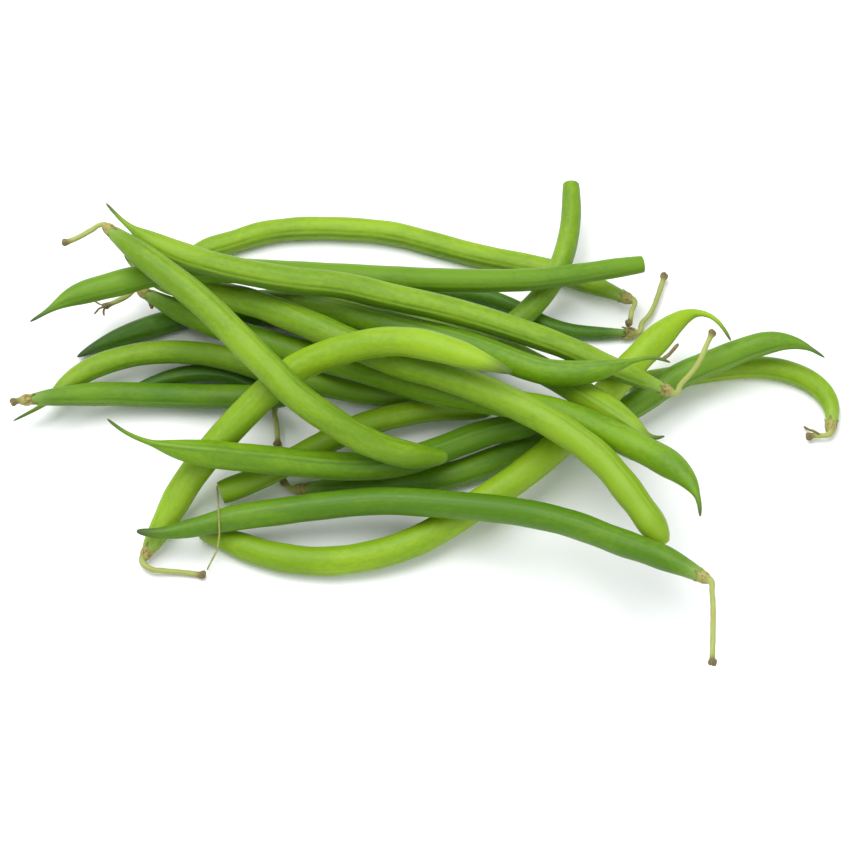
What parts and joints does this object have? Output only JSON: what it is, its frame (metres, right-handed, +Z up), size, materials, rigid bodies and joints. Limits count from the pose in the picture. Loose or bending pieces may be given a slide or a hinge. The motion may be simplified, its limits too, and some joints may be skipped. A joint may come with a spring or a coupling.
{
  "type": "green bean bundle",
  "caption": "Loose heap of slender green bean pods lying across each other, some with calyx caps and thin stalks still on, others with curved beaks or trimmed ends.",
  "frame": {"origin": "bottom centre of the heap's bounding box, on the surface that it lies on", "axes": "+X to the viewer's right along the pods, +Y away from the viewer, +Z up"},
  "size_m": [0.2088, 0.1542, 0.0403],
  "materials": {
    "pod_lime": "satin",
    "pod_fresh": "satin",
    "pod_mid": "satin",
    "pod_deep": "satin",
    "pod_dark": "satin",
    "stalk": "matte"
  },
  "bodies": {
    "root": {"right_bent_pod": "pod_lime", "right_bent_stalk": "stalk", "right_long_pod": "pod_deep", "right_long_stalk": "stalk", "left_rear_pod": "pod_dark", "right_thin_pod": "pod_dark", "right_thin_stalk": "stalk", "rear_arch_pod": "pod_lime", "rear_arch_stalk": "stalk", "small_pod": "pod_dark", "small_stalk": "stalk", "upright_pod": "pod_fresh", "sweep_pod": "pod_lime", "low_right_pod": "pod_fresh", "left_arch_pod": "pod_fresh", "left_flat_pod": "pod_deep", "left_flat_stalk": "stalk", "curl_pod": "pod_mid", "crossbar_pod": "pod_deep", "back_diagonal_pod": "pod_fresh", "back_diagonal_stalk": "stalk", "cut_end_pod": "pod_lime", "hooked_pod": "pod_mid", "hooked_stalk": "stalk", "left_beak_pod": "pod_mid", "long_diagonal_pod": "pod_fresh", "arch_pod": "pod_lime", "arch_stalk": "stalk", "front_pod": "pod_deep", "front_stalk": "stalk", "top_diagonal_pod": "pod_fresh", "top_diagonal_stalk": "stalk"}
  },
  "joints": []
}
